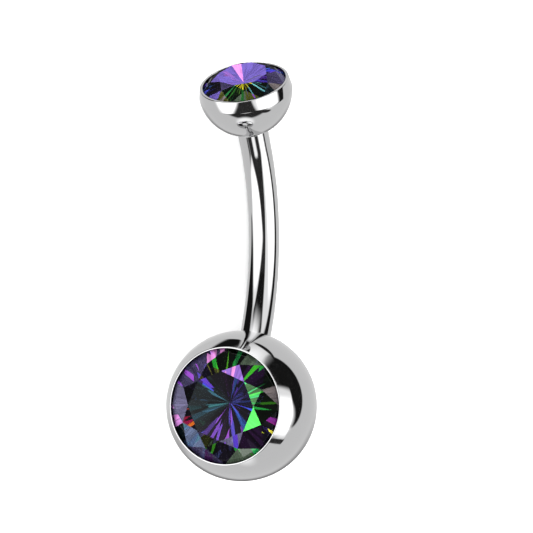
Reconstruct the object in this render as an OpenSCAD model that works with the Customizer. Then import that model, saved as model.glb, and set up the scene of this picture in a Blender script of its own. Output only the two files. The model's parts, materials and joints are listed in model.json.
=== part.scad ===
// Curved navel ring with a push-fit top, lying on its side.
// The bar is bent in one plane. A round ball on its lower end and a smaller round cup on
// its upper end each hold a round brilliant stone. The cup's pin slides into a straight
// hole in the bar. The ring rests on three points: the ball, the cup and the bar's bow.
// Sizes are in millimetres.

/* [Bar] */
// Diameter of the round bar
bar_d = 1.63; // [1.4:0.01:1.8]
// Straight distance from the ball to the cup
bar_length = 11.1; // [9:0.1:13]
// Radius of the bend, to the middle of the bar
bend_r = 10.7; // [9.5:0.1:16]
// Straight stretch left at the drilled upper end
straight_end = 1; // [0.8:0.1:1.6]
// Diameter of the turned-down tail that is pressed into the ball
tail_d = 1.2; // [0.9:0.05:1.3]
// Length of the tail inside the ball
tail_length = 1.5; // [0.8:0.1:2]
// How far the bar's shoulder is let into the ball's round
shoulder_sink = 0.2; // [0.15:0.01:0.3]

/* [Ball] */
// Diameter of the lower ball
ball_d = 8; // [7.4:0.1:9]
// Width of the lower stone
ball_stone_d = 6.15; // [5:0.05:6.4]
// Width of the flat ring at the top of the ball's lip
ball_lip_edge = 0.075; // [0.05:0.005:0.15]
// How much the conical band under the lip widens to its foot, on each side
ball_band = 0.41; // [0.2:0.01:0.45]
// How far the lip is faced down below the ball's round
ball_facing = 0.04; // [0.01:0.01:0.1]
// Depth of the lower stone's widest edge below the lip
ball_stone_drop = 0.25; // [0.1:0.01:0.4]
// Angle between the lower stone's face and the bar's lower end
face_angle = 25.5; // [15:0.5:35]

/* [Cup] */
// Diameter of the upper cup
cup_d = 5; // [4.9:0.05:6]
// Width of the upper stone
cup_stone_d = 4.5; // [3.6:0.05:4.6]
// Width of the flat ring at the top of the cup's lip
cup_lip_edge = 0.16; // [0.08:0.01:0.2]
// Height of the cup's lip above the middle of its round
cup_lip_h = 0.44; // [0.38:0.01:0.6]
// Depth of the conical band's foot below the middle of the cup's round
cup_band_drop = 0.15; // [0.05:0.01:0.4]
// Depth of the upper stone's widest edge below the lip
cup_stone_drop = 0.12; // [0.06:0.01:0.2]

/* [Pin] */
// Diameter of the pin
pin_d = 0.4; // [0.3:0.01:0.5]
// Depth of the pin's hole in the bar
hole_depth = 4.55; // [2:0.05:4.6]
// Length of the pin held in the cup
pin_hold = 0.35; // [0.2:0.05:0.4]
// Bevel on the pin's free end
pin_bevel = 0.06; // [0.02:0.01:0.1]
// Lean of the pin and its hole from the bar's upper end, towards the hollow of the bend
pin_lean = 2; // [1.5:0.5:3]
// Width and depth of the lead-in bevel at the mouth of the pin's hole
lead_in = 0.06; // [0.02:0.01:0.1]

/* [Stones] */
// Width of the table as a share of the stone's width
table_share = 0.6; // [0.53:0.01:0.66]
// Slope of the kite facets from the table
crown_angle = 35; // [31:0.5:37]
// Slope of the lower main facets
pavilion_angle = 40.75; // [40:0.25:42]
// Height of the girdle at the kites' tips as a share of the stone's width
girdle_share = 0.026; // [0.024:0.001:0.04]
// How far the star facets reach from the table to the girdle, as a share
star_share = 0.5; // [0.4:0.05:0.6]
// How far the lower half facets reach from the girdle to the point, as a share
lower_half_share = 0.77; // [0.7:0.01:0.85]

/* [Fits] */
// Gap round a stone in its setting
stone_gap = 0.02; // [0.01:0.005:0.03]
// Gap under a stone's sloping lower side
bearing_gap = 0.08; // [0.06:0.01:0.12]
// How far a lip is pressed in over its stone's edge
lip_turn = 0.03; // [0.01:0.01:0.05]
// Gap on each side where the bar sits in the ball and the pin in the cup
press_gap = 0.01; // [0.005:0.005:0.02]
// Gap on each side of the pin where it slides in the bar
pin_gap = 0.025; // [0.015:0.005:0.05]
// Free depth past the end of the tail and past each end of the pin
blind_gap = 0.05; // [0.02:0.01:0.08]
// Gap between the bar's end and the cup when the top is pushed home
seat_gap = 0.02; // [0.01:0.01:0.05]

/* [Hidden] */
$fn = 96;
metal = [0.78, 0.78, 0.8];
dark_violet = [0.23, 0.12, 0.36];
light_violet = [0.42, 0.28, 0.6];

bar_r = bar_d / 2;
ball_r = ball_d / 2;
cup_r = cup_d / 2;
hole_r = pin_d / 2 + pin_gap;

// The bend, in the bar's own plane: X points out through the bow from the bend's centre,
// Z along the ring towards the cup, and the lower stone looks along -X
end_radius = norm([bend_r, straight_end]);
sweep = acos((pow(bend_r, 2) + pow(end_radius, 2) - pow(bar_length, 2)) / (2 * bend_r * end_radius))
    - atan(straight_end / bend_r);
top_angle = sweep - face_angle;
cup_angle = top_angle - pin_lean;
function on_bend(a) = [bend_r * cos(a), 0, bend_r * sin(a)];
function tangent(a) = [-sin(a), 0, cos(a)];
bar_foot = on_bend(-face_angle);
bar_end = on_bend(top_angle) + straight_end * tangent(top_angle);

// Where the two settings sit, and the way their stones look
stone_axis = [-1, 0, 0];
ball_c = bar_foot - ball_r * tangent(-face_angle);
cup_axis = tangent(cup_angle);
cup_back = sqrt(pow(cup_r, 2) - pow(bar_r, 2));
cup_c = bar_end + (seat_gap + cup_back) * cup_axis;

// Lips and the feet of the conical bands under them
ball_lip_r = ball_stone_d / 2 - lip_turn + ball_lip_edge;
ball_lip_h = sqrt(pow(ball_r, 2) - pow(ball_lip_r, 2)) - ball_facing;
ball_band_r = ball_lip_r + ball_band;
ball_band_h = sqrt(pow(ball_r, 2) - pow(ball_band_r, 2));
cup_lip_r = cup_stone_d / 2 - lip_turn + cup_lip_edge;
cup_band_r = sqrt(pow(cup_r, 2) - pow(cup_band_drop, 2));

// How the ring lies. The floor touches the ball, the cup and the bow, so all three reach
// equally far down. The bow touches the floor at bend angle -rest_turn.
radius_ratio = (ball_r - bar_r) / (cup_r - bar_r);
rest_x = radius_ratio * cup_c.x - ball_c.x;
rest_z = ball_c.z - radius_ratio * cup_c.z;
rest_turn = atan2(rest_z, rest_x) + acos((radius_ratio - 1) * bend_r / norm([rest_x, rest_z]));
in_plane = (ball_r - bar_r) / (bend_r - ball_c.x * cos(rest_turn) + ball_c.z * sin(rest_turn));
up = [-in_plane * cos(rest_turn), -sqrt(1 - pow(in_plane, 2)), in_plane * sin(rest_turn)];
level = [0, 0, 1] - up.z * up;
along = level / norm(level);
across = cross(along, up);
floor_h = ball_c * up - ball_r;

// The origin lies on the floor under the middle of the ring's box. Along the ring the box
// ends at the ball's round and at the cup's lip or table. Across it ends at the ball, on
// the stone's side at its lip or at the foot of its band.
function ring_reach(centre, axis, r, way) = centre * way + r * sqrt(1 - pow(axis * way, 2));
cup_lip_c = cup_c + cup_lip_h * cup_axis;
cup_table_c = cup_lip_c + (crown_height(cup_stone_d) - cup_stone_drop) * cup_axis;
far_along = max(
    ring_reach(cup_lip_c, cup_axis, cup_lip_r, along),
    ring_reach(cup_table_c, cup_axis, table_share * cup_stone_d / 2, along));
near_along = ball_c * along - ball_r;
far_across = ball_c * across + ball_r;
near_across = -max(
    ring_reach(ball_c + ball_lip_h * stone_axis, stone_axis, ball_lip_r, -across),
    ring_reach(ball_c + ball_band_h * stone_axis, stone_axis, ball_band_r, -across));
mid_across = (far_across + near_across) / 2;
mid_along = (far_along + near_along) / 2;

// Moves a piece from the bar's plane to where it lies on the floor
module laid() {
    multmatrix([
        [across.x, across.y, across.z, -mid_across],
        [along.x, along.y, along.z, -mid_along],
        [up.x, up.y, up.z, -floor_h]])
        children();
}

// Puts a piece that has its stone's axis on +Z at the ball, or at the cup
module on_ball() {
    translate(ball_c) rotate([0, -90, 0]) children();
}
module on_cup() {
    translate(cup_c) rotate([0, -cup_angle, 0]) children();
}

// Puts a piece at the bar's lower end, where +Z leads up the bar, or at its upper end,
// where +Z leads out of the pin's hole
module at_bar_foot() {
    translate(bar_foot) rotate([0, face_angle, 0]) children();
}
module at_bar_end() {
    translate(bar_end) rotate([0, -cup_angle, 0]) children();
}

// Heights of a stone's crown and pavilion
function crown_height(d) = (1 - table_share) * d / 2 * tan(crown_angle);
function pavilion_depth(d) = d / 2 * tan(pavilion_angle);

// Height between the girdle and the corner at join_r, where two mains of this slope meet
function join_height(r, join_r, slope) = (r - join_r * cos(360 / 16)) * tan(slope);

// How far the foot of a half facet dips at its middle, where the girdle has 32 sides
function foot_dip(r, join_r, slope) =
    r * (1 / cos(360 / 32) - 1) * join_height(r, join_r, slope) / (r - join_r);

// Points of a level ring round the axis, and of the girdle, where every other point is low
function level_ring(count, r, h, turn = 0) =
    [for (i = [0:count - 1]) [r * cos(turn + 360 * i / count), r * sin(turn + 360 * i / count), h]];
function girdle_ring(r, h, other_h) =
    [for (i = [0:31]) [r * cos(360 * i / 32), r * sin(360 * i / 32), i % 2 == 0 ? h : other_h]];

// Round brilliant with the kites' tips at height 0 and the table up: a table, 8 stars,
// 8 kites and 16 halves above the girdle, and 16 halves and 8 mains below it
module brilliant(d) {
    r = d / 2;
    low = -girdle_share * d;
    table_edge = table_share * r * cos(360 / 16);
    star_r = table_edge + star_share * (r - table_edge);
    low_r = (1 - lower_half_share) * r;
    corners = concat(
        level_ring(8, table_share * r, crown_height(d)),
        level_ring(8, star_r, join_height(r, star_r, crown_angle), 360 / 16),
        girdle_ring(r, 0, -foot_dip(r, star_r, crown_angle)),
        girdle_ring(r, low, low + foot_dip(r, low_r, pavilion_angle)),
        level_ring(8, low_r, low - join_height(r, low_r, pavilion_angle), 360 / 16),
        [[0, 0, low - pavilion_depth(d)]]);
    function star_at(i) = 8 + (i + 8) % 8;
    function upper_at(i) = 16 + i % 32;
    function lower_at(i) = 48 + i % 32;
    function low_at(i) = 80 + (i + 8) % 8;
    point = 88;
    polyhedron(corners, concat(
        [[for (i = [7:-1:0]) i]],
        [for (i = [0:7]) [i, (i + 1) % 8, star_at(i)]],
        [for (i = [0:7]) [i, star_at(i), upper_at(4 * i), star_at(i - 1)]],
        [for (i = [0:7], k = [4 * i, 4 * i + 2])
            [star_at(i), upper_at(k + 2), upper_at(k + 1), upper_at(k)]],
        [for (i = [0:31]) [upper_at(i), upper_at(i + 1), lower_at(i + 1), lower_at(i)]],
        [for (i = [0:7], k = [4 * i, 4 * i + 2])
            [low_at(i), lower_at(k), lower_at(k + 1), lower_at(k + 2)]],
        [for (i = [0:7]) [point, low_at(i - 1), lower_at(4 * i), low_at(i)]]));
}

// Round body of a setting: a ball cut by one long cone, which crosses the ball at the foot
// of the band and ends at the lip
module setting_body(r, foot_r, foot_h, lip_r, lip_h) {
    cone_h = r + lip_h;
    widening = (foot_r - lip_r) / (lip_h - foot_h);
    intersection() {
        sphere(r = r);
        translate([0, 0, -r]) cylinder(r1 = lip_r + cone_h * widening, r2 = lip_r, h = cone_h);
    }
}

// Room for a stone whose widest edge lies drop below the lip. The lip leans in over it.
module stone_seat(d, drop, lip_h) {
    bore_r = d / 2 + stone_gap;
    mouth_r = d / 2 - lip_turn;
    bearing_h = lip_h - drop - girdle_share * d - bearing_gap;
    rotate_extrude() polygon([
        [0, bearing_h - bore_r * tan(pavilion_angle)],
        [bore_r, bearing_h],
        [bore_r, lip_h - drop / 2],
        [mouth_r, lip_h],
        [mouth_r, lip_h + d],
        [0, lip_h + d]]);
}

module bar() {
    sink_angle = shoulder_sink / bend_r * 180 / PI;
    color(metal) laid() difference() {
        union() {
            rotate([0, -top_angle, 0]) {
                rotate([-90, 0, 0]) rotate_extrude(angle = sweep + sink_angle)
                    translate([bend_r, 0]) circle(r = bar_r);
                translate([bend_r, 0, 0]) cylinder(r = bar_r, h = straight_end + bar_r);
            }
            at_bar_foot() translate([0, 0, -tail_length])
                cylinder(d = tail_d, h = tail_length + shoulder_sink);
        }
        at_bar_end() {
            cylinder(r = bar_d, h = bar_d);
            translate([0, 0, -hole_depth]) cylinder(r = hole_r, h = hole_depth + bar_r);
            translate([0, 0, -lead_in])
                cylinder(r1 = hole_r, r2 = hole_r + 2 * lead_in, h = 2 * lead_in);
        }
    }
}

module ball() {
    color(metal) laid() difference() {
        on_ball() setting_body(ball_r, ball_band_r, ball_band_h, ball_lip_r, ball_lip_h);
        on_ball() stone_seat(ball_stone_d, ball_stone_drop, ball_lip_h);
        at_bar_foot() {
            translate([0, 0, -tail_length - blind_gap])
                cylinder(r = tail_d / 2 + press_gap, h = tail_length + ball_r);
            translate([0, 0, -shoulder_sink - press_gap])
                cylinder(r = bar_r + press_gap, h = ball_r);
        }
    }
}

module ball_stone() {
    color(dark_violet) laid() on_ball()
        translate([0, 0, ball_lip_h - ball_stone_drop]) brilliant(ball_stone_d);
}

module cup() {
    color(metal) laid() on_cup() difference() {
        setting_body(cup_r, cup_band_r, -cup_band_drop, cup_lip_r, cup_lip_h);
        stone_seat(cup_stone_d, cup_stone_drop, cup_lip_h);
        translate([0, 0, -cup_back - cup_r]) cylinder(r = cup_r, h = cup_r);
        translate([0, 0, -cup_d])
            cylinder(r = pin_d / 2 + press_gap, h = cup_d - cup_back + pin_hold + blind_gap);
    }
}

module cup_stone() {
    color(light_violet) laid() on_cup()
        translate([0, 0, cup_lip_h - cup_stone_drop]) brilliant(cup_stone_d);
}

module pin() {
    reach = hole_depth - blind_gap + seat_gap;
    color(metal) laid() on_cup() translate([0, 0, -cup_back - reach]) {
        translate([0, 0, pin_bevel]) cylinder(d = pin_d, h = reach - pin_bevel + pin_hold);
        cylinder(d1 = pin_d - 2 * pin_bevel, d2 = pin_d, h = pin_bevel);
    }
}

bar();
ball();
ball_stone();
cup();
cup_stone();
pin();
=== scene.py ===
# %% [markdown]
# # A curved navel ring with two coated stones
#
# The real ring is 22 mm long and has four metal parts and two cut stones. A bent titanium bar
# carries an 8 mm ball at its lower end. The ball holds a large round stone. A small cup with a
# second stone pushes onto the bar's upper end with a thin pin. The ring lies on its side here.
#
# The imported model is the fixed frame. Every piece below takes its place from it, so it is loaded
# first. The finished look must stay inside it.

# %% Load the frame
import json
import math

import bmesh
import bpy
from mathutils import Matrix, Vector


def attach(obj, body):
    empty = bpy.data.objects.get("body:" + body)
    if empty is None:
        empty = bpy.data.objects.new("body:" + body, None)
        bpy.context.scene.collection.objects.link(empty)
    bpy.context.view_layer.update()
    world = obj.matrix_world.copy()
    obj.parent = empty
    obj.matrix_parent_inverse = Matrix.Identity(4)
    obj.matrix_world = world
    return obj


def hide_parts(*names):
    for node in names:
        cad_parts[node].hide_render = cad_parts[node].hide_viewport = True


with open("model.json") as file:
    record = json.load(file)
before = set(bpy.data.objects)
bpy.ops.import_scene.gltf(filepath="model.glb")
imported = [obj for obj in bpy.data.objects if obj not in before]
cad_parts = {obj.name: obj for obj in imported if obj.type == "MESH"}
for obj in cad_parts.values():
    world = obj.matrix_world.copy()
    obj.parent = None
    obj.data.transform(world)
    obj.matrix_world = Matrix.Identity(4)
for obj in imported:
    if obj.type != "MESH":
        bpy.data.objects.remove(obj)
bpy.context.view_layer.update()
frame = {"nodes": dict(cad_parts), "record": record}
MM = 0.001

# %% [markdown]
# ## Where the stones look
#
# A cut stone's largest flat is its table. The CAD stones are exact, so the table's normal is the
# direction in which a stone looks, and a corner of the table says how the cut is turned. Both
# could be typed in again as numbers, but measuring them keeps the look tied to the model.


# %% Measure a stone's table
def table_of(node):
    """Centre, normal and one corner of the largest flat of a CAD stone."""
    mesh = frame["nodes"][node].data
    flats = {}
    for face in mesh.polygons:
        key = tuple(round(x, 3) for x in face.normal)
        flats.setdefault(key, []).append(face)
    table = max(flats.values(), key=lambda faces: sum(face.area for face in faces))
    area = sum(face.area for face in table)
    centre = sum((face.center * face.area for face in table), Vector()) / area
    normal = table[0].normal.normalized()
    corners = [mesh.vertices[i].co for face in table for i in face.vertices]
    corner = max(corners, key=lambda point: (point - centre).length)
    return centre, normal, corner


lower_table, lower_axis, lower_corner = table_of("ball_stone")
upper_table, upper_axis, upper_corner = table_of("cup_stone")
print("lower table in mm:", lower_table / MM, "looks along", lower_axis)
print("upper table in mm:", upper_table / MM, "looks along", upper_axis)

# %% [markdown]
# ## The middles of the ball and the cup
#
# Each stone sits square in its round body, and both bodies touch the floor. So the middle of
# each one lies on its stone's axis, one radius above the floor. An average over the CAD ball's
# faces could be taken too, but its hollow and its bore pull that off the middle.

# %% Find the two middles
ball_r = 4.0 * MM
cup_r = 2.5 * MM


def middle_of(table, axis, radius):
    """Point on a stone's axis that lies one radius above the floor."""
    return table + axis * (radius - table.z) / axis.z


ball_c = middle_of(lower_table, lower_axis, ball_r)
cup_c = middle_of(upper_table, upper_axis, cup_r)
print("ball middle in mm:", ball_c / MM)
print("cup middle in mm:", cup_c / MM)

# %% [markdown]
# ## The bend
#
# The bar is one arc in one plane, and both stones look along that plane. The wearing section
# in the record gives the middle of the bar and its direction there. The middle of the bend
# lies one bend radius away, on the side to which the lower stone looks.
#
# Both ends of the arc could be given as angles. Here they follow from the two middles: the
# ball's middle lies on the bar's tangent at its foot, and the cup's back meets the end of a
# short straight stretch.

# %% Find the middle of the bend
bend_r = 10.7 * MM

wearing = frame["record"]["mounts"][0]
bar_middle = Vector(wearing["pos_m"])
bar_way = Vector(wearing["axis"])
plane_normal = lower_axis.cross(upper_axis).normalized()
inward = (lower_axis - lower_axis.dot(bar_way) * bar_way).normalized()
bend_c = bar_middle + bend_r * inward
print("middle of the bend in mm:", bend_c / MM)

# %% Find the ends of the bend
bar_r = 0.815 * MM
straight_end = 1.0 * MM
seat_gap = 0.02 * MM


def bend_angle(point):
    """Angle of a point round the middle of the bend, from the bar's middle towards the cup."""
    spoke = point - bend_c
    return math.atan2(spoke.dot(bar_way), -spoke.dot(inward))


cup_back = math.sqrt(cup_r**2 - bar_r**2)
bar_end = cup_c - (cup_back + seat_gap) * upper_axis
foot_angle = bend_angle(ball_c) + math.atan(ball_r / bend_r)
arc_end_angle = bend_angle(bar_end) - math.atan(straight_end / bend_r)
print("arc from", round(math.degrees(foot_angle), 2), "to", round(math.degrees(arc_end_angle), 2))

# %% [markdown]
# ## A lathe for round settings
#
# The ball and the cup are turned parts. On a real lathe a profile is swept round an axis, and
# Blender's spin does the same. An outline is drawn from straight runs and arcs in a local
# frame whose Z is the stone's axis, and is then spun by a full turn. A sphere primitive with
# holes cut in it would also work, but the cuts would leave ragged shading on a mirror finish.


# %% Draw an outline
def add_run(bm, start, radius, height):
    """A straight run of the outline, from the vertex start to a point at radius and height."""
    new = bmesh.ops.extrude_vert_indiv(bm, verts=[start])["verts"][0]
    new.co = Vector((radius, 0, height))
    return new


def add_arc(bm, start, angle, steps):
    """An arc of the outline about the origin, from the vertex start by an angle."""
    turned = bmesh.ops.spin(
        bm, geom=[start], cent=(0, 0, 0), axis=(0, -1, 0), angle=angle, steps=steps)
    return next(part for part in turned["geom_last"] if isinstance(part, bmesh.types.BMVert))


trial = bmesh.new()
top = add_arc(trial, trial.verts.new((1, 0, 0)), math.pi / 2, 8)
print("a quarter arc from radius 1 ends at", top.co)
trial.free()

# %% Spin the outline
SPIN_STEPS = 128
MERGE = 1e-4 * MM


def spin_round(bm):
    """Spins the outline round Z by a full turn, closes the poles and turns the faces outwards."""
    bmesh.ops.spin(
        bm, geom=bm.verts[:] + bm.edges[:], cent=(0, 0, 0), axis=(0, 0, 1),
        angle=2 * math.pi, steps=SPIN_STEPS, use_merge=True)
    bmesh.ops.remove_doubles(bm, verts=bm.verts, dist=MERGE)
    bmesh.ops.recalc_face_normals(bm, faces=bm.faces)


trial = bmesh.new()
add_run(trial, trial.verts.new((1, 0, 0)), 1, 1)
spin_round(trial)
print("a straight run spins into a tube of", len(trial.faces), "faces")
trial.free()

# %% [markdown]
# ## Putting a piece in its place
#
# Each piece is shaped in the local frame that suits it. It could then be placed by moving its
# object. Here the move goes into the mesh, and the object stays at the origin, unturned, as a CAD
# part's object does.


# %% Place and write a piece
def axis_frame(origin, axis, towards):
    """Matrix from a local frame to the ring's: Z on the axis, X towards a given point."""
    z = axis.normalized()
    x = towards - origin
    x = (x - x.dot(z) * z).normalized()
    turn = Matrix((x, z.cross(x), z)).transposed()
    return Matrix.Translation(origin) @ turn.to_4x4()


def finish_piece(name, bm, place, smooth=True):
    """Writes a bmesh to a new object at the origin, with its place in its mesh."""
    bmesh.ops.transform(bm, matrix=place, verts=bm.verts)
    mesh = bpy.data.meshes.new(name)
    bm.to_mesh(mesh)
    bm.free()
    if smooth:
        mesh.shade_smooth()
    else:
        mesh.shade_flat()
    piece = bpy.data.objects.new(name, mesh)
    bpy.context.scene.collection.objects.link(piece)
    print(name, len(mesh.vertices), "vertices", len(mesh.polygons), "faces")
    return piece


lower_place = axis_frame(ball_c, lower_axis, ball_c + lower_corner - lower_table)
upper_place = axis_frame(cup_c, upper_axis, cup_c + upper_corner - upper_table)
print("the ball's frame has its Z along", lower_place.col[2].xyz)
print("the cup's frame has its Z along", upper_place.col[2].xyz)

# %% [markdown]
# ## Rounded edges
#
# No real edge is perfectly sharp. A polished one is rounded by a few hundredths of a
# millimetre and catches a thin line of light. The edges could be bevelled in each mesh. A
# Bevel modifier finds them by their angle instead, and its hardened normals keep the shading
# of the surfaces beside them.

# %% Round the edges
EDGE_ROUND = 0.030 * MM
EDGE_SEGMENTS = 3


def round_edges(piece, degrees):
    """Rounds every edge that is sharper than so many degrees."""
    bevel = piece.modifiers.new("round_edges", "BEVEL")
    bevel.width = EDGE_ROUND
    bevel.segments = EDGE_SEGMENTS
    bevel.profile = 0.5
    bevel.limit_method = "ANGLE"
    bevel.angle_limit = math.radians(degrees)
    bevel.harden_normals = True


print("edges are rounded by", EDGE_ROUND / MM, "mm in", EDGE_SEGMENTS, "steps")

# %% [markdown]
# ## The seat inside a setting
#
# On the real ring the lip is pressed in over the stone's edge. Behind it a wall goes down to a
# cone, on which the stone's lower side rests. Little of this shows while the stone is in, and a
# plain hollow would do for the picture. But each piece is also a mesh of its own, so it gets the
# lip, the wall and the bearing cone of the CAD ball.

# %% Draw the seat
lip_turn = 0.03 * MM
stone_gap = 0.02 * MM
bearing_gap = 0.08 * MM
pavilion_angle = math.radians(40.75)
girdle_share = 0.026


def add_seat(bm, last, stone_r, drop, lip_h):
    """Goes on from the lip's outer edge: over the lip, down the wall and along the cone."""
    wall_r = stone_r + stone_gap
    bearing_h = lip_h - drop - girdle_share * 2 * stone_r - bearing_gap
    last = add_run(bm, last, stone_r - lip_turn, lip_h)
    last = add_run(bm, last, wall_r, lip_h - drop / 2)
    last = add_run(bm, last, wall_r, bearing_h)
    add_run(bm, last, 0, bearing_h - wall_r * math.tan(pavilion_angle))


print("the bearing cone slopes by", round(math.degrees(pavilion_angle), 2), "degrees")

# %% [markdown]
# ## The lower ball
#
# The ball is faced off at the front to a narrow lip, with a conical band behind the lip. Its
# outline goes once round the section: up the outside from the back, along the band, over the
# lip, and through the seat to the axis. The hollow could be cut out of a solid ball instead,
# but one outline spun in one go keeps the rings of faces even, and with them the reflections.

# %% Size the ball
lower_stone_r = 3.075 * MM
lower_lip_edge = 0.075 * MM
lower_band = 0.41 * MM
lower_facing = 0.04 * MM
lower_drop = 0.25 * MM

lower_lip_r = lower_stone_r - lip_turn + lower_lip_edge
lower_lip_h = math.sqrt(ball_r**2 - lower_lip_r**2) - lower_facing
foot_r = lower_lip_r + lower_band
foot_h = math.sqrt(ball_r**2 - foot_r**2)
print("lip radius and height in mm:", round(lower_lip_r / MM, 3), round(lower_lip_h / MM, 3))
print("band's foot in mm:", round(foot_r / MM, 3), round(foot_h / MM, 3))

# %% Draw the ball's outline
BALL_STEPS = 90


def add_outside(bm, radius, back_h, foot_r, foot_h, lip_r, lip_h, steps):
    """Draws a back flat, a round outside and a conical band. Returns the lip's outer edge."""
    last = bm.verts.new((0, 0, -back_h))
    back_r = math.sqrt(max(radius**2 - back_h**2, 0))
    if back_r > 0:
        last = add_run(bm, last, back_r, -back_h)
    back_angle = math.atan2(-back_h, back_r)
    band_angle = math.atan2(foot_h, foot_r)
    last = add_arc(bm, last, band_angle - back_angle, steps)
    return add_run(bm, last, lip_r, lip_h)


bm = bmesh.new()
lip = add_outside(bm, ball_r, ball_r, foot_r, foot_h, lower_lip_r, lower_lip_h, BALL_STEPS)
add_seat(bm, lip, lower_stone_r, lower_drop, lower_lip_h)
print("points on the ball's outline:", len(bm.verts))

# %% Turn the ball
SETTING_ANGLE = 20

spin_round(bm)
ball = finish_piece("ball_setting", bm, lower_place)
round_edges(ball, SETTING_ANGLE)

# %% [markdown]
# ## The upper cup
#
# The cup is turned in the same way, from a smaller ball. Its back is faced flat to the width
# of the bar, so that it seats on the bar's end. A smaller copy of the lower ball would be
# quicker, but the cup is much shallower: its lip lies just in front of its middle.

# %% Size the cup
upper_stone_r = 2.25 * MM
upper_lip_edge = 0.16 * MM
upper_lip_h = 0.44 * MM
upper_band_drop = 0.15 * MM
upper_drop = 0.12 * MM

upper_lip_r = upper_stone_r - lip_turn + upper_lip_edge
foot_r = math.sqrt(cup_r**2 - upper_band_drop**2)
print("lip radius and height in mm:", round(upper_lip_r / MM, 3), round(upper_lip_h / MM, 3))

# %% Turn the cup
CUP_STEPS = 60

bm = bmesh.new()
lip = add_outside(
    bm, cup_r, cup_back, foot_r, -upper_band_drop, upper_lip_r, upper_lip_h, CUP_STEPS)
add_seat(bm, lip, upper_stone_r, upper_drop, upper_lip_h)
spin_round(bm)
cup = finish_piece("cup_setting", bm, upper_place)
round_edges(cup, SETTING_ANGLE)

# %% [markdown]
# ## The bent bar
#
# The bar is a round rod bent to an arc, with a short straight end that is drilled for the pin.
# A curve with a bevel would give the arc too, but the drilled end needs faces to work on. So a
# circle is spun round the middle of the bend, drawn out straight, cut off square to the cup's
# axis with a bisect, and its end face is inset and pushed in to make the hole.

# %% Follow the bend
shoulder_sink = 0.2 * MM
TRIAL_TURN = 0.1

trial_way = Matrix.Rotation(TRIAL_TURN, 3, plane_normal) @ inward
bend_sign = 1 if trial_way.dot(bar_way) < 0 else -1
bend_axis = plane_normal * bend_sign


def way_at(angle):
    """Direction of the bar at an angle of the bend."""
    return Matrix.Rotation(angle, 3, bend_axis) @ bar_way


def point_at(angle):
    """Point on the middle line of the bar at an angle of the bend."""
    return bend_c - bend_r * (Matrix.Rotation(angle, 3, bend_axis) @ inward)


start_angle = foot_angle - shoulder_sink / bend_r
print("the bar starts in mm at", point_at(start_angle) / MM)

# %% Spin the rod
BAR_SIDES = 64
BEND_STEPS = 110

foot_frame = axis_frame(point_at(start_angle), way_at(start_angle), bend_c)
bm = bmesh.new()
ring = bmesh.ops.create_circle(bm, segments=BAR_SIDES, radius=bar_r, cap_ends=False)["verts"]
bmesh.ops.transform(bm, matrix=foot_frame, verts=ring)
arc = bmesh.ops.spin(
    bm, geom=bm.verts[:] + bm.edges[:], cent=bend_c, axis=bend_axis,
    angle=arc_end_angle - start_angle, steps=BEND_STEPS)
print("faces along the bend:", len(bm.faces))

# %% Draw the end out straight and cut it square
CUT_EXACT = 1e-6 * MM

last_ring = [part for part in arc["geom_last"] if isinstance(part, bmesh.types.BMEdge)]
drawn = bmesh.ops.extrude_edge_only(bm, edges=last_ring)["geom"]
drawn_verts = [part for part in drawn if isinstance(part, bmesh.types.BMVert)]
bmesh.ops.translate(bm, vec=way_at(arc_end_angle) * (straight_end + bar_r), verts=drawn_verts)
cut = bmesh.ops.bisect_plane(
    bm, geom=bm.verts[:] + bm.edges[:] + bm.faces[:], dist=CUT_EXACT, plane_co=bar_end,
    plane_no=upper_axis, clear_outer=True)["geom_cut"]
end_edges = [part for part in cut if isinstance(part, bmesh.types.BMEdge)]
end_face = bmesh.ops.contextual_create(bm, geom=end_edges)["faces"][0]
print("end face in square mm:", round(end_face.calc_area() / MM**2, 3))

# %% Drill the hole for the pin
hole_r = 0.225 * MM
hole_depth = 4.55 * MM
lead_in = 0.06 * MM


def push_in(bm, face, inset, depth):
    """Insets a face and pushes what is left of it into the bar."""
    bmesh.ops.inset_region(bm, faces=[face], thickness=inset, use_even_offset=True)
    bmesh.ops.translate(bm, vec=-upper_axis * depth, verts=face.verts)


push_in(bm, end_face, bar_r - hole_r - lead_in, 0)
push_in(bm, end_face, lead_in, lead_in)
bottom = bmesh.ops.extrude_discrete_faces(bm, faces=[end_face])["faces"][0]
bmesh.ops.translate(bm, vec=-upper_axis * (hole_depth - lead_in), verts=bottom.verts)
hole_way = bottom.calc_center_median() - bar_end
print("the hole's bottom is", round(hole_way.length / MM, 2), "mm behind the bar's end")

# %% Close the bar's foot
ROD_ANGLE = 30

bmesh.ops.remove_doubles(bm, verts=bm.verts, dist=MERGE)
open_edges = [edge for edge in bm.edges if edge.is_boundary]
print("open edges before the foot is closed:", len(open_edges))
bmesh.ops.holes_fill(bm, edges=open_edges, sides=0)
bmesh.ops.recalc_face_normals(bm, faces=bm.faces)
bar = finish_piece("bent_bar", bm, Matrix.Identity(4))
round_edges(bar, ROD_ANGLE)

# %% [markdown]
# ## The pin
#
# The pin is a straight wire with a bevelled tip. It shows only when the top is pulled off. It
# could be drawn and spun as the settings are, but a cylinder from create_cone is enough, and
# beveling its lower rim gives the tip.

# %% Make the pin
PIN_SIDES = 32
pin_r = 0.2 * MM
pin_hold = 0.35 * MM
pin_tip = 0.06 * MM
blind_gap = 0.05 * MM

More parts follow.
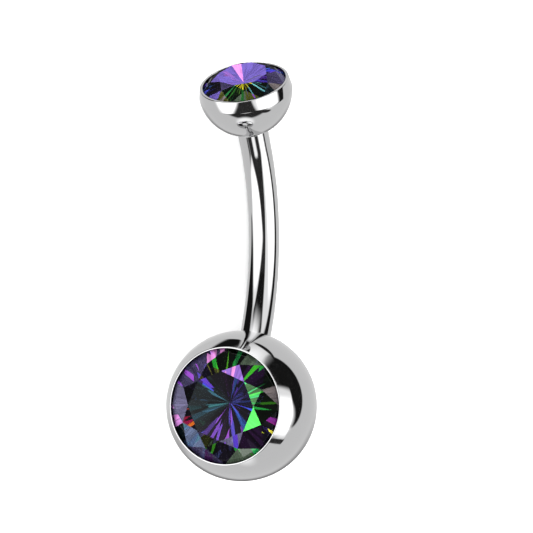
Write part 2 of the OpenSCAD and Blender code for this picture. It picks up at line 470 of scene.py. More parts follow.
pin_reach = hole_depth - blind_gap + seat_gap
pin_length = pin_reach + pin_hold
bm = bmesh.new()
bmesh.ops.create_cone(
    bm, segments=PIN_SIDES, radius1=pin_r, radius2=pin_r, depth=pin_length, cap_ends=True)
tip_rim = [edge for edge in bm.edges if all(vert.co.z < 0 for vert in edge.verts)]
bmesh.ops.bevel(
    bm, geom=tip_rim, offset=pin_tip, affect="EDGES", segments=1, profile=0.5, material=-1)
bmesh.ops.recalc_face_normals(bm, faces=bm.faces)
pin_middle = cup_c - upper_axis * (cup_back + pin_reach - pin_length / 2)
pin = finish_piece("push_pin", bm, axis_frame(pin_middle, upper_axis, bend_c))
round_edges(pin, ROD_ANGLE)

# %% [markdown]
# ## The two cut stones
#
# Both stones are round brilliants. A stone cutter grinds them from a round blank, one flat at
# a time, and each flat has an index round the stone, a slope and a depth. The corners could be
# worked out one by one, but grinding is simpler. The blank is a 32-sided cylinder, bisect_plane
# takes off what lies outside each flat, and contextual_create closes the cut. Blank and cuts
# are made at a radius of 1, which keeps them exact, and the finished stone is scaled.

# %% Choose the proportions
EIGHTH = math.pi / 4
HALF_STEP = EIGHTH / 4
table_share = 0.6
star_share = 0.5
lower_half_share = 0.77
crown_angle = math.radians(35)

girdle_low = -2 * girdle_share
crown_h = (1 - table_share) * math.tan(crown_angle)
table_edge = table_share * math.cos(EIGHTH / 2)
star_r = table_edge + star_share * (1 - table_edge)
star_h = (1 - star_r * math.cos(EIGHTH / 2)) * math.tan(crown_angle)
low_r = 1 - lower_half_share
low_h = (1 - low_r * math.cos(EIGHTH / 2)) * math.tan(pavilion_angle)
upper_half_angle = math.atan(star_h / ((1 - star_r) * math.cos(HALF_STEP)))
lower_half_angle = math.atan(low_h / ((1 - low_r) * math.cos(HALF_STEP)))
star_angle = math.atan((crown_h - star_h) / (star_r - table_edge))
print("crown height at radius 1:", round(crown_h, 4))

# %% Grind one flat
GRIND_EXACT = 1e-5
TABLE, STAR, KITE, UPPER_HALF, GIRDLE, MAIN, LOWER_HALF = range(7)


def grind(bm, index, slope, reach, height, kind):
    """Cuts one flat that passes through a point at reach and height, and marks its kind."""
    side = 1 if kind <= UPPER_HALF else -1
    out = Vector((math.cos(index), math.sin(index), 0))
    normal = out * math.sin(slope) + Vector((0, 0, side * math.cos(slope)))
    cut = bmesh.ops.bisect_plane(
        bm, geom=bm.verts[:] + bm.edges[:] + bm.faces[:], dist=GRIND_EXACT,
        plane_co=out * reach + Vector((0, 0, height)), plane_no=normal, clear_outer=True)
    rim = [part for part in cut["geom_cut"] if isinstance(part, bmesh.types.BMEdge)]
    for face in bmesh.ops.contextual_create(bm, geom=rim)["faces"]:
        face.material_index = kind


print("kinds of face on a stone:", LOWER_HALF + 1)

# %% Grind a whole stone
GIRDLE_SIDES = 32
BLANK_H = 4
STONE_MERGE = 1e-4


def brilliant():
    """A bmesh of the stone at radius 1, with the kites' tips at height 0."""
    bm = bmesh.new()
    bmesh.ops.create_cone(
        bm, segments=GIRDLE_SIDES, radius1=1, radius2=1, depth=BLANK_H, cap_ends=True)
    for face in bm.faces:
        face.material_index = GIRDLE
    chord = math.cos(HALF_STEP)
    for i in range(8):
        turn = i * EIGHTH
        grind(bm, turn, pavilion_angle, 1, girdle_low, MAIN)
        grind(bm, turn, crown_angle, 1, 0, KITE)
        grind(bm, turn + EIGHTH / 2, star_angle, table_edge, crown_h, STAR)
        for offset in (HALF_STEP, EIGHTH - HALF_STEP):
            grind(bm, turn + offset, lower_half_angle, chord, girdle_low, LOWER_HALF)
            grind(bm, turn + offset, upper_half_angle, chord, 0, UPPER_HALF)
    grind(bm, 0, 0, 0, crown_h, TABLE)
    bmesh.ops.remove_doubles(bm, verts=bm.verts, dist=STONE_MERGE)
    bmesh.ops.recalc_face_normals(bm, faces=bm.faces)
    return bm


trial = brilliant()
print("faces of a ground stone:", len(trial.faces))

# %% [markdown]
# ## Fire in the stones
#
# A real stone of this kind breaks light into dark fields and bright slivers, and its coating
# colours them. Tracing the light of many colours could show that too, but it is slow, and which
# sliver a flat shows depends on the lamps of that one photograph. So this light is painted: each
# flat gets a colour for its field, partly the coating's hue and partly painted reflection and
# shade, and a second colour for its painted slivers of light, as two colour attributes, from a
# chart. The first colour's alpha says how clear the flat is, and the second colour's alpha says
# how much of the flat the slivers cover.

# %% Name the flats' painted colours
# Painted on the coating's hue: dark fields of painted dark reflection, and paler flats of painted
# glare
INK = (0.015, 0.010, 0.028)
PINE = (0.006, 0.016, 0.005)
LAGOON = (0.024, 0.045, 0.052)
INDIGO = (0.045, 0.035, 0.160)
PLUM = (0.045, 0.012, 0.070)
SLATE = (0.055, 0.045, 0.110)
MOSS = (0.085, 0.120, 0.080)
DUST = (0.170, 0.145, 0.145)
HAZE = (0.135, 0.125, 0.220)
STEEL = (0.110, 0.140, 0.240)
LAVENDER = (0.165, 0.115, 0.480)
MAUVE = (0.280, 0.145, 0.570)
SAGE = (0.095, 0.240, 0.090)
OLIVE = (0.090, 0.100, 0.015)
print("the dark fields are", INK, "or", PINE)

# %% Name the colours of the painted slivers of light
GREEN = (0.130, 0.950, 0.150)
LEAF = (0.030, 0.380, 0.020)
FERN = (0.020, 0.140, 0.015)
YELLOW = (0.900, 0.850, 0.030)
ORANGE = (0.750, 0.060, 0.020)
PINK = (0.950, 0.350, 0.900)
MAGENTA = (0.400, 0.030, 0.450)
VIOLET = (0.220, 0.080, 0.600)
BLUE = (0.060, 0.045, 0.550)
NAVY = (0.030, 0.025, 0.260)
TEAL = (0.035, 0.130, 0.170)
GLACIER = (0.090, 0.190, 0.290)
CYAN = (0.170, 0.600, 0.600)
print("three greens:", GREEN, LEAF, FERN)

# %% Name three kinds of flat
VEIL_CLEAR = 0.6
MILKY_CLEAR = 0.5
DEEP_CLEAR = 0.88


def veil(colour, spark=HAZE, share=0.0):
    """A flat with a painted haze of reflected light over it."""
    return (*colour, VEIL_CLEAR), (*spark, share)


def milky(colour, spark=HAZE, share=0.0):
    """A flat of one strong colour, painted light on the coating's hue."""
    return (*colour, MILKY_CLEAR), (*spark, share)


def deep(colour, spark=HAZE, share=0.0):
    """A clear flat that one looks into, its painted field mostly dark."""
    return (*colour, DEEP_CLEAR), (*spark, share)


print("a flat with a haze over it:", veil(HAZE))

# %% Chart the lower stone
lower_chart = {
    TABLE: (
        deep(INK, NAVY, 0.1), deep(LAGOON, BLUE, 0.15), deep(LAGOON, TEAL, 0.1),
        deep(LAGOON, TEAL, 0.2), deep(LAGOON, TEAL, 0.4), deep(LAGOON, TEAL, 0.3),
        deep(INK, VIOLET, 0.2), deep(PLUM, VIOLET, 0.3), deep(PLUM, VIOLET, 0.3),
        deep(INK, VIOLET, 0.3), deep(INK, BLUE, 0.3), deep(INK, BLUE, 0.3),
        deep(INDIGO, NAVY, 0.1), deep(INDIGO, INK, 0.2), deep(INK, NAVY, 0.3),
        deep(PLUM, BLUE, 0.1)),
    STAR: (
        deep(INK, OLIVE, 0.2), deep(INK, ORANGE, 0.2), deep(INK, ORANGE, 0.4),
        deep(OLIVE, SLATE, 0.3), veil(HAZE, BLUE, 0.3), milky(GREEN),
        veil(SAGE, GREEN, 0.25), milky(MAUVE, PINK, 0.12)),
    KITE: (
        deep(PINE, LEAF, 0.2), veil(SLATE, VIOLET, 0.25), milky(HAZE),
        milky(STEEL, GLACIER, 0.2), deep(INK, LEAF, 0.25), deep(PLUM, INK, 0.3),
        deep(PINE, LEAF, 0.2), deep(PLUM, LEAF, 0.1)),
    UPPER_HALF: (
        veil(SLATE, PINK, 0.4), veil(SLATE), veil(SLATE, VIOLET, 0.2), milky(HAZE),
        milky(HAZE, PINK, 0.4), deep(LAGOON), veil(SLATE), veil(SLATE, PLUM, 0.3),
        veil(MOSS), veil(MOSS, LEAF, 0.3), deep(INK, YELLOW, 0.2), deep(INK, MAGENTA, 0.4),
        veil(DUST), deep(PINE, LEAF, 0.2), veil(MOSS), deep(PINE, LEAF, 0.2)),
}
print("flats charted on the lower stone:", sum(len(row) for row in lower_chart.values()))

# %% Chart the upper stone
upper_chart = {
    TABLE: (
        milky(LAVENDER), milky(PINK), milky(LAVENDER), milky(LAVENDER, MAUVE, 0.2),
        milky(LAVENDER, MAUVE, 0.2), milky(LAVENDER), milky(LAVENDER),
        milky(LAVENDER, MAUVE, 0.2), milky(LAVENDER), milky(LAVENDER), milky(LAVENDER),
        milky(LAVENDER, HAZE, 0.2), milky(LAVENDER, HAZE, 0.2), milky(LAVENDER),
        milky(LAVENDER), milky(LAVENDER, MAUVE, 0.2)),
    STAR: (
        deep(INK), deep(INK), milky(LAVENDER), veil(SLATE, LAVENDER, 0.4),
        deep(PINE, YELLOW, 0.25), deep(INDIGO, BLUE, 0.4), deep(INDIGO, BLUE, 0.2), deep(INK)),
    KITE: (
        deep(INK), deep(INK), deep(INK), deep(INK, NAVY, 0.4),
        deep(PINE, FERN, 0.3), deep(PINE, CYAN, 0.2), veil(SLATE), deep(INDIGO, BLUE, 0.1)),
    UPPER_HALF: (
        deep(INK), deep(INK), deep(INK), deep(INK),
        deep(INDIGO, BLUE, 0.3), deep(INK, BLUE, 0.3), veil(LAVENDER), veil(OLIVE, DUST, 0.3),
        veil(MOSS, FERN, 0.3), veil(OLIVE, VIOLET, 0.3), deep(LAGOON), veil(DUST),
        veil(HAZE), deep(INDIGO, BLUE, 0.2), deep(INK), deep(INK)),
}
print("flats charted on the upper stone:", sum(len(row) for row in upper_chart.values()))

# %% [markdown]
# ## Setting the stones
#
# In the photograph the table isn't one even flat. Slivers burst out from one point of it,
# where the stone's lower tip shows through. So the table is split into sixteen wedges that meet
# at that point. The wedges could be drawn in the material instead, but as faces they take their
# colours from the same chart as every other flat. A UV layer keeps each corner's place as seen
# from that point, and the slivers follow it.


# %% Split the table
def split_table(bm, burst):
    """Splits the table into sixteen wedges that meet where the slivers burst out."""
    table = next(face for face in bm.faces if face.material_index == TABLE)
    bmesh.ops.subdivide_edges(bm, edges=table.edges, cuts=1)
    middle = bmesh.ops.poke(bm, faces=[table])["verts"][0]
    middle.co = Vector((*burst, crown_h))


split_table(trial, (0, 0))
print("faces once the table is split:", len(trial.faces))

# %% Find a flat in the chart
RIM_SHARE = 0.99


def chart_step(face):
    """Number of a flat among those of its kind, counted round the stone."""
    kind = face.material_index
    middle = face.calc_center_median()
    if kind == TABLE:
        rim = [vert.co for vert in face.verts if vert.co.xy.length > RIM_SHARE * table_edge]
        middle = sum(rim, Vector())
    eighths = math.atan2(middle.y, middle.x) / EIGHTH
    if kind in (TABLE, UPPER_HALF):
        return math.floor(2 * eighths)
    return round(eighths) if kind == KITE else math.floor(eighths)


kites = [face for face in trial.faces if face.material_index == KITE]
print("the kites' places in their row:", sorted(chart_step(face) % 8 for face in kites))
trial.free()

# %% Set the stones
COATED = {GIRDLE: 2, MAIN: 3, LOWER_HALF: 4}
UNCHARTED = (veil(HAZE),)
lower_burst = (0.063, -0.176)
upper_burst = (-0.44, -0.18)


def colour_flats(bm, burst, chart):
    """Writes each flat's painted field and sliver colours, and its corners' places as seen from
    the burst.
    """
    flat_hue_and_light = bm.loops.layers.float_color.new("flat_hue_and_light")
    spark = bm.loops.layers.float_color.new("spark")
    cut = bm.loops.layers.uv.new("cut")
    for face in bm.faces:
        row = chart.get(face.material_index, UNCHARTED)
        # body is the flat's painted field colour, fire the colour of its painted slivers of light
        body, fire = row[chart_step(face) % len(row)]
        for loop in face.loops:
            loop[flat_hue_and_light] = body
            loop[spark] = fire
            loop[cut].uv = loop.vert.co.xy - Vector(burst)


def set_stone(name, axis, table, corner, stone_r, burst, chart):
    """Grinds a stone, colours its flats, scales it and puts its table where the CAD table is."""
    bm = brilliant()
    split_table(bm, burst)
    colour_flats(bm, burst, chart)
    for face in bm.faces:
        kind = face.material_index
        face.material_index = COATED.get(kind, 0 if kind == TABLE else 1)
    bmesh.ops.scale(bm, vec=(stone_r,) * 3, verts=bm.verts)
    sink = axis * crown_h * stone_r
    return finish_piece(name, bm, axis_frame(table - sink, axis, corner - sink), smooth=False)


lower_stone = set_stone(
    "lower_stone", lower_axis, lower_table, lower_corner, lower_stone_r,
    lower_burst, lower_chart)
upper_stone = set_stone(
    "upper_stone", upper_axis, upper_table, upper_corner, upper_stone_r,
    upper_burst, upper_chart)

# %% [markdown]
# ## Polished titanium
#
# The metal is bare titanium, polished to a mirror, so nearly all of its look is what it
# mirrors. A roughness of zero would do from afar, but up close such a polish is never perfect.
# A fine noise varies the roughness a little, and a second one lifts and lowers the surface by a
# hair, as a buffing wheel leaves it.


# %% Start the metal
def new_material(name):
    """A material with a Principled shader. Returns the material, its tree and the shader."""
    material = bpy.data.materials.new(name)
    material.use_nodes = True
    tree = material.node_tree
    return material, tree, tree.nodes["Principled BSDF"]


metal, tree, shader = new_material("polished_titanium")
shader.inputs["Base Color"].default_value = (0.60, 0.60, 0.605, 1)
shader.inputs["Metallic"].default_value = 1
print("a new material has", [node.name for node in tree.nodes])

# %% [markdown]
# ## A helper for nodes
#
# A finish is a tree of nodes. Each node could be added, set and linked in lines of its own, but
# a large tree then fills pages. One helper does all three, so that each finish below reads as
# a short list. Some inputs of a node share a name, so they can go by number too.


# %% Add and link a node
def socket_of(node, name):
    """An input by its name, or by its number, as in i0 or i1."""
    if name[0] == "i" and name[1:].isdigit():
        return node.inputs[int(name[1:])]
    return node.inputs[name]


def add_node(tree, kind, settings=None, **inputs):
    """Adds a node, sets its settings, and sets each input or links it to a socket."""
    node = tree.nodes.new(kind)
    for name, value in (settings or {}).items():
        setattr(node, name, value)
    for name, value in inputs.items():
        socket = socket_of(node, name)
        if isinstance(value, bpy.types.NodeSocket):
            tree.links.new(value, socket)
        else:
            socket.default_value = value
    return node


place = add_node(tree, "ShaderNodeTexCoord").outputs["Object"]
print("nodes in the metal so far:", len(tree.nodes))

# %% Vary the polish
BUFF_SCALE = 2200
SMOOTHEST = 0.02
ROUGHEST = 0.06
NOISE_LOW = 0.3
NOISE_HIGH = 0.7


def remap(tree, value, low, high, to_low, to_high, curve="LINEAR"):
    """A Map Range node. Low becomes to_low and high becomes to_high."""
    return add_node(
        tree, "ShaderNodeMapRange", {"interpolation_type": curve}, Value=value,
        i1=low, i2=high, i3=to_low, i4=to_high).outputs["Result"]


buffing = add_node(
    tree, "ShaderNodeTexNoise", None, Vector=place, Scale=BUFF_SCALE, Detail=3, Roughness=0.6)
gloss = remap(tree, buffing.outputs["Fac"], NOISE_LOW, NOISE_HIGH, SMOOTHEST, ROUGHEST)
tree.links.new(gloss, shader.inputs["Roughness"])
print("the metal's roughness goes from", SMOOTHEST, "to", ROUGHEST)

# %% Add the wheel's marks
WHEEL_SCALE = 900
WHEEL_STRENGTH = 0.02
WHEEL_DEPTH = 0.02 * MM

wheel = add_node(tree, "ShaderNodeTexNoise", None, Vector=place, Scale=WHEEL_SCALE, Detail=2)
bump = add_node(
    tree, "ShaderNodeBump", None, Strength=WHEEL_STRENGTH, Distance=WHEEL_DEPTH,
    Height=wheel.outputs["Fac"])
tree.links.new(bump.outputs["Normal"], shader.inputs["Normal"])
for piece in (ball, cup, bar, pin):
    piece.data.materials.append(metal)
    print(piece.name, "is made of", metal.name)

# %% [markdown]
# ## The stones' clear side
#
# The upper side of each stone is clear and bends light strongly. Its painted slivers of light fan
# out from one point of the table. A wave texture could give stripes, but even ones, while real
# slivers start and end. So the pattern is drawn on a cylinder: the direction from that point gives
# two coordinates and the distance a third. A Voronoi pattern there has long crisp cells, and each
# cell has three random numbers. Where the first is below the flat's share, the cell is a sliver
# and shows the second colour. The second number sets how bright the cell's painted light is, and
# the third turns a sliver's hue a little.

# %% Lay out the slivers
TABLE_ROUNDS = 10.0
CROWN_ROUNDS = 12.0


def calc(tree, operation, *values):
    """A Math node. Values are numbers or sockets."""
    inputs = {f"i{i}": value for i, value in enumerate(values)}
    return add_node(tree, "ShaderNodeMath", {"operation": operation}, **inputs).outputs[0]


def fan(tree, cut, rounds, along, seed):
    """Coordinates for slivers: many of them round the burst, and few along their length."""
    vectors = "ShaderNodeVectorMath"
    way = add_node(tree, vectors, {"operation": "NORMALIZE"}, i0=cut).outputs[0]
    reach = add_node(tree, vectors, {"operation": "LENGTH"}, i0=cut).outputs["Value"]
    round_part = add_node(tree, vectors, {"operation": "SCALE"}, i0=way, Scale=rounds).outputs[0]
    height = calc(tree, "MULTIPLY_ADD", reach, along, seed)
    along_part = add_node(tree, "ShaderNodeCombineXYZ", None, Z=height).outputs[0]
    return add_node(
        tree, vectors, {"operation": "ADD"}, i0=round_part, i1=along_part).outputs[0]


for flats, rounds in (("table", TABLE_ROUNDS), ("crown", CROWN_ROUNDS)):
    print("cells round the burst on the", flats, "are about", round(2 * math.pi * rounds))

# %% Light the slivers
# Levels of the painted light in the cells
BRIGHTEST = 1.3
DULL_DARKEST = 1.74
CLEAR_DARKENS = -1.8
STREAKS_ALONG = 0.8
STREAKS_DARK = 0.8
STREAKS_BRIGHT = 1.2


def cell_light(tree, cut, rounds, seed, clearness, shade):
    """Painted light of a cell: how bright its colour is painted, with fine painted streaks in it.
    The clearer the flat, the darker it gets.
    """
    # how dark or bright the cell's painted light is
    darkest = calc(tree, "MULTIPLY_ADD", clearness, CLEAR_DARKENS, DULL_DARKEST)
    depth = remap(tree, shade, 0, 1, darkest, BRIGHTEST)
    # fine painted streaks of light along the slivers
    streak = add_node(
        tree, "ShaderNodeTexNoise", None, Vector=fan(tree, cut, 2 * rounds, STREAKS_ALONG, seed),
        Scale=1.0, Detail=2).outputs["Fac"]
    streak_light = remap(tree, streak, NOISE_LOW, NOISE_HIGH, STREAKS_DARK, STREAKS_BRIGHT)
    return calc(tree, "MULTIPLY", depth, streak_light)


for kind, clearness in (("milky", MILKY_CLEAR), ("deep", DEEP_CLEAR)):
    print("darkest cell of a", kind, "flat:", round(clearness * CLEAR_DARKENS + DULL_DARKEST, 2))

# %% Make the clear side
SLIVER_CLEAR = 0.6
HUE_SPREAD = 0.04
STONE_IOR = 2.4


def mix(tree, share, first, second):
    """A Mix node for numbers: the first at a share of 0, the second at a share of 1."""
    return add_node(
        tree, "ShaderNodeMix", {"data_type": "FLOAT"}, i0=share, i2=first, i3=second).outputs[0]


def mix_colours(tree, share, first, second):
    """The same for two colours."""
    return add_node(
        tree, "ShaderNodeMix", {"data_type": "RGBA"}, i0=share, i6=first, i7=second).outputs[2]


def clear_side(name, rounds, along, seed):
    """Clear stone with each flat's painted colour, and painted slivers of light in its second
    colour.
    """
    material, tree, shader = new_material(name)
    # each flat's colour: partly the coating's hue, partly painted reflection and shade
    body = add_node(tree, "ShaderNodeAttribute", {"attribute_name": "flat_hue_and_light"}).outputs
    # the painted slivers of light: their colour, and their share in alpha
    fire = add_node(tree, "ShaderNodeAttribute", {"attribute_name": "spark"}).outputs
    cut = add_node(tree, "ShaderNodeUVMap", {"uv_map": "cut"}).outputs[0]
    cell = add_node(
        tree, "ShaderNodeTexVoronoi", None, Vector=fan(tree, cut, rounds, along, seed), Scale=1.0)
    pick, shade, turn = add_node(
        tree, "ShaderNodeSeparateColor", None, i0=cell.outputs["Color"]).outputs[:]
    hue = remap(tree, turn, 0, 1, 0.5 - HUE_SPREAD, 0.5 + HUE_SPREAD)
    flash = add_node(
        tree, "ShaderNodeHueSaturation", None, Hue=hue, Color=fire["Color"]).outputs[0]
    sliver = calc(tree, "LESS_THAN", pick, fire["Alpha"])
    colour = mix_colours(tree, sliver, body["Color"], flash)
    glow = cell_light(tree, cut, rounds, seed, body["Alpha"], shade)
    shaded = add_node(
        tree, "ShaderNodeVectorMath", {"operation": "SCALE"}, i0=colour, Scale=glow).outputs[0]
    tree.links.new(shaded, shader.inputs["Base Color"])
    clearness = mix(tree, sliver, body["Alpha"], SLIVER_CLEAR)
    tree.links.new(clearness, shader.inputs["Transmission Weight"])
    shader.inputs["IOR"].default_value = STONE_IOR
    shader.inputs["Roughness"].default_value = 0
    shader.inputs["Specular Tint"].default_value = (0.3, 0.3, 0.3, 1)
    print(name, "has", len(tree.nodes), "nodes")
    return material


table_glass = clear_side("clear_table", TABLE_ROUNDS, along=2.6, seed=5.0)
crown_glass = clear_side("clear_crown", CROWN_ROUNDS, along=2.0, seed=33.0)

# %% [markdown]
# ## The stones' coated side
#
# The lower side of the real stones carries a thin coating that mirrors light in dark violet,
# blue and green. A thin film on clear stone could be traced, but its colours are hard to steer.
# A tinted metal on the lower flats mirrors just as well from inside the stone, and each kind of
# flat can have its own tint.


# %% Make the coated side
def coating(name, colour):
    """A mirror coating seen from inside the stone."""
    material, tree, shader = new_material(name)
    shader.inputs["Base Color"].default_value = (*colour, 1)
    shader.inputs["Metallic"].default_value = 1
    shader.inputs["Roughness"].default_value = 0.0
    return material


coats = [
    coating("coat_girdle", (0.3, 0.2, 0.5)),
    coating("coat_main", (0.6, 0.55, 0.85)),
    coating("coat_half", (0.5, 0.75, 0.75)),
]
for stone in (lower_stone, upper_stone):
    for material in (table_glass, crown_glass, *coats):
        stone.data.materials.append(material)
    print(stone.name, "has", [material.name for material in stone.data.materials])

# %% [markdown]
# ## Riding on the bodies
#
# The ring has two moving bodies. The barbell is the bar with the ball and its stone. The top
# is the cup with its stone and pin, and it slides off along the pin. The pieces could be moved
# by hand for each pose. Instead each one rides on its body and stands for one CAD part, so it
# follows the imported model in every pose.

# %% Tie the pieces to the frame
for piece, node, body, slot in (
        (bar, "bar", "barbell", "polished_metal"),
        (ball, "ball", "barbell", "polished_metal"),
        (lower_stone, "ball_stone", "barbell", "coated_stone"),
        (cup, "cup", "top", "polished_metal"),
        (upper_stone, "cup_stone", "top", "coated_stone"),
        (pin, "pin", "top", "polished_metal")):
    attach(piece, body)
    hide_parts(node)

# %% [markdown]
# ## The camera
#
# The photograph looks almost straight down on the lying ring, from far away. A camera could be
# shifted by hand until the pictures agree. Here a point to look at, two angles, a roll and a
# distance say where it stands, and a long lens gives the flat look.

# %% Find the camera's place
camera_azimuth = math.radians(161.106)
camera_elevation = math.radians(72.061)
camera_roll = math.radians(111.24)
camera_distance = 303.2 * MM
look_at = Vector((-1.072, 1.089, 10.532)) * MM

level = math.cos(camera_elevation)
towards_camera = Vector((
    level * math.cos(camera_azimuth),
    level * math.sin(camera_azimuth),
    math.sin(camera_elevation)))
camera_place = look_at + towards_camera * camera_distance
print("the camera stands in mm at", camera_place / MM)

# %% Place the camera
camera_data = bpy.data.cameras.new("photo_camera")
camera_data.lens = 396.04
camera_data.sensor_width = 36
camera_data.clip_start = 10 * MM
camera_data.clip_end = 10
camera = bpy.data.objects.new("photo_camera", camera_data)
camera.location = camera_place
upright = towards_camera.to_track_quat("Z", "Y")
camera.rotation_mode = "QUATERNION"
camera.rotation_quaternion = upright @ Matrix.Rotation(camera_roll, 3, "Z").to_quaternion()
bpy.context.scene.collection.objects.link(camera)
bpy.context.scene.camera = camera
bpy.context.view_layer.update()
right, above, back = (camera.matrix_world.col[i].to_3d() for i in range(3))
print("camera right", right, "up", above, "back", back)

# %% [markdown]
# ## The floor
#
# The ring lies on a plain pale floor. A curved backdrop would hide the horizon, but the
# photograph looks down and shows none, so a grid with one face is enough. A mirror this close
# to the floor would show the ring's own shadow and go dark at its edges, where the photograph
# is pale. So neither metal nor stones see the floor. They see the studio painted below it.

# %% Lay the floor
FLOOR_HALF = 400 * MM

bm = bmesh.new()
bmesh.ops.create_grid(bm, x_segments=1, y_segments=1, size=FLOOR_HALF)
floor = finish_piece("floor", bm, Matrix.Identity(4), smooth=False)
paper, tree, shader = new_material("pale_paper")
shader.inputs["Base Color"].default_value = (0.96, 0.96, 0.96, 1)
shader.inputs["Roughness"].default_value = 0.7
shader.inputs["Specular IOR Level"].default_value = 0.2
floor.data.materials.append(paper)
floor.visible_glossy = False
floor.visible_transmission = False

# %% [markdown]
# ## A studio painted on the sky
#
# Polished metal shows its surroundings and little else, so the studio matters as much as the
# ring. The photograph was taken between two tilted softboxes with a dark gap between them.
# Real lamps and cards would work, but they would stand in the way of other views. Here each
# panel is painted on the sky instead. A panel is a box or a disc seen from the ring: a Mapping
# node turns the direction of view into the panel's own frame, and a division by the depth
# gives flat coordinates, in which soft steps make the shape.

# %% Open the sky
world = bpy.data.worlds.new("studio")
world.use_nodes = True
bpy.context.scene.world = world
sky = world.node_tree
sky.nodes.clear()
ray = add_node(sky, "ShaderNodeTexCoord").outputs["Generated"]
studio_turn = Matrix((right, above, back)).transposed()
print("the studio's front is towards the camera, along", studio_turn.col[2])


# %% Shape a panel
def soft_step(value, edge, soft):
    """1 where the value is well below the edge, 0 where it is well above it."""
    return remap(sky, value, edge - soft, edge + soft, 1.0, 0.0, "SMOOTHSTEP")


def disc(mask, x, y, depth, wide, high, soft):
    """Keeps what lies inside an ellipse."""
    flat = [calc(sky, "DIVIDE", side, calc(sky, "MULTIPLY", depth, half))
            for side, half in ((x, wide), (y, high))]
    far = calc(sky, "SQRT", calc(sky, "ADD", *(calc(sky, "MULTIPLY", f, f) for f in flat)))
    return calc(sky, "MULTIPLY", mask, soft_step(far, 1, soft))


def box(mask, x, y, depth, wide, high, soft):
    """Keeps what lies inside a rectangle."""
    for side, half in ((x, wide), (y, high)):
        flat = calc(sky, "ABSOLUTE", calc(sky, "DIVIDE", side, depth))
        mask = calc(sky, "MULTIPLY", mask, soft_step(flat, half, soft))
    return mask


print("nodes in the empty sky:", len(sky.nodes))

# %% Hang a panel
PALE_WALL = 0.82
DIM_WALL = 0.08
NEAREST = 0.001


def add_panel(under, shape, level, yaw, pitch, roll, wide, high, soft):
    """Paints a box or a disc over the sky so far. Angles in degrees, half sizes as tangents."""
    turn = studio_turn
    for angle, axis in ((yaw, "Y"), (-pitch, "X"), (roll, "Z")):
        turn = turn @ Matrix.Rotation(math.radians(angle), 3, axis)
    local = add_node(
        sky, "ShaderNodeMapping", None, Vector=ray, Rotation=turn.inverted().to_euler()).outputs[0]
    x, y, depth = add_node(sky, "ShaderNodeSeparateXYZ", None, Vector=local).outputs[:]
    in_front = calc(sky, "MAXIMUM", depth, NEAREST)
    mask = shape(calc(sky, "GREATER_THAN", depth, 0.0), x, y, in_front, wide, high, soft)
    return mix(sky, mask, under, level)


print("walls behind the panels: metal", PALE_WALL, "and stones", DIM_WALL)

# %% [markdown]
# ## What the metal mirrors
#
# Each panel covers those before it. The wall is pale. The dark gaps give the black shapes
# beside the bands and along the bar, and the softboxes give the white ones. Yaw is counted
# from the camera to the right and pitch upwards, so a panel at 180 degrees is behind the ring
# and shows only at the very edge of the ball.

# %% Paint the metal's studio
light = PALE_WALL
# shape, level, yaw, pitch, roll, half width, half height, softness
for panel in (
        (box, 0.01, -18, 7, -37, 0.8, 2.4, 0.10),     # dark gap above
        (disc, 0.03, -5, -32, -4, 3.4, 1.0, 0.12),    # dark gap below
        (box, 0.01, -98, 40, 15, 0.55, 1.1, 0.05),    # dark corner at the upper left
        (disc, 0.01, 90, 20, -4, 0.36, 0.98, 0.08),   # dark strip at the right
        (disc, 0.01, 130, 60, 12, 0.27, 0.06, 0.2),   # its narrow tail
        (box, 1.9, -2, 72, 0, 0.45, 0.55, 0.30),      # lamp above
        (box, 1.3, -53, -9, 42, 0.72, 0.66, 0.10),    # left softbox
        (disc, 2.4, -52, -12, 0, 0.62, 0.62, 0.25),   # its bright middle
        (disc, 1.2, 48, -5, 0, 0.76, 0.76, 0.12),     # right softbox
        (disc, 2.4, 58, -14, 0, 0.55, 0.50, 0.30),    # its bright middle
        (disc, 1.5, 3, -57, 10, 0.18, 0.05, 0.5),     # small spark below
        (disc, 0.03, 74, -46, 30, 0.22, 0.06, 0.25),  # dark curl below the right softbox
        (disc, 0.25, 180, -17, 0, 0.45, 0.20, 0.8),   # the ring's own shade under it
        (disc, 1.5, 0, -88, 0, 0.25, 0.25, 0.4)):     # glow from below
    light = add_panel(light, *panel)
print("sky nodes with the metal's studio:", len(sky.nodes))

# %% [markdown]
# ## What the stones mirror
#
# Under the same bright studio the stones would go pale, because every flat would mirror or bend
# some of it to the camera. A photographer shades a stone with a small card for that reason.
# Here the stones get a dark sky of their own, with four small lamps that only some flats catch.

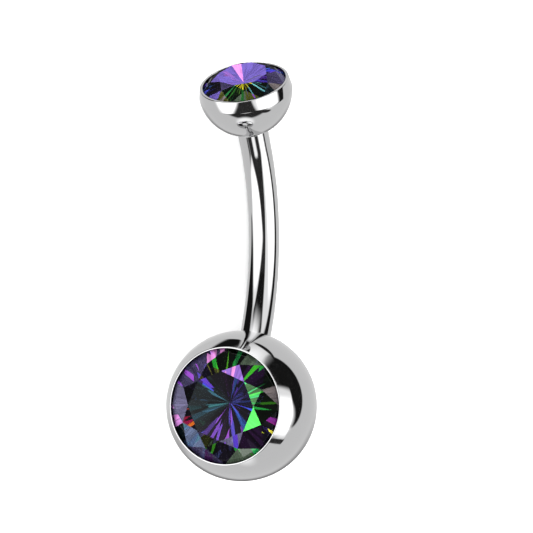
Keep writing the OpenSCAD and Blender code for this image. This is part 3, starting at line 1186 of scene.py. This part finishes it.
# %% Paint the stones' studio
stone_light = DIM_WALL
for panel in (
        (disc, 3.0, -52, -12, 0, 0.20, 0.30, 0.2),    # lamp at the left
        (disc, 3.0, 55, -14, 0, 0.20, 0.30, 0.2),     # lamp at the right
        (disc, 2.0, 14, -72, 0, 0.20, 0.16, 0.2),     # lamp below
        (box, 2.0, 4, 8, 30, 0.03, 0.12, 0.02)):      # narrow lamp beside the camera
    stone_light = add_panel(stone_light, *panel)
print("sky nodes with the stones' studio:", len(sky.nodes))

# %% [markdown]
# ## Who sees which sky
#
# One sky for all would be simpler, but metal, stones and floor each need their own. The Light
# Path node tells what a ray has met. A ray that passed through a stone, or left a perfectly
# smooth surface, sees the stones' sky. The metal is never quite smooth, so its mirrored rays
# see the metal's studio. All other rays, such as the light on the floor, see a plain white dome.

# %% Join the skies
DOME = 2.6

path = add_node(sky, "ShaderNodeLightPath").outputs
mirrored = calc(sky, "MAXIMUM", path["Is Glossy Ray"], path["Is Transmission Ray"])
from_stone = calc(sky, "MAXIMUM", path["Is Singular Ray"], path["Is Transmission Ray"])
strength = mix(sky, from_stone, light, stone_light)
painted = add_node(sky, "ShaderNodeBackground", None, Color=(1, 1, 1, 1), Strength=strength)
plain = add_node(sky, "ShaderNodeBackground", None, Color=(1, 1, 1, 1), Strength=DOME)
seen = add_node(
    sky, "ShaderNodeMixShader", None, i0=mirrored, i1=plain.outputs[0], i2=painted.outputs[0])
add_node(sky, "ShaderNodeOutputWorld", None, Surface=seen.outputs[0])
print("sky nodes in all:", len(sky.nodes))

# %% [markdown]
# ## Picture settings
#
# A filmic view would turn the photograph's pure whites grey. The standard view keeps white at
# white. Rays may bounce often, because light in a cut stone is mirrored several times before
# it leaves.

# %% Set how the picture is made
scene = bpy.context.scene
scene.view_settings.view_transform = "Standard"
scene.cycles.max_bounces = 16
scene.cycles.glossy_bounces = 12
scene.cycles.transmission_bounces = 12
scene.cycles.blur_glossy = 0
scene.cycles.caustics_reflective = False
scene.cycles.caustics_refractive = False
print("a ray may bounce", scene.cycles.max_bounces, "times")
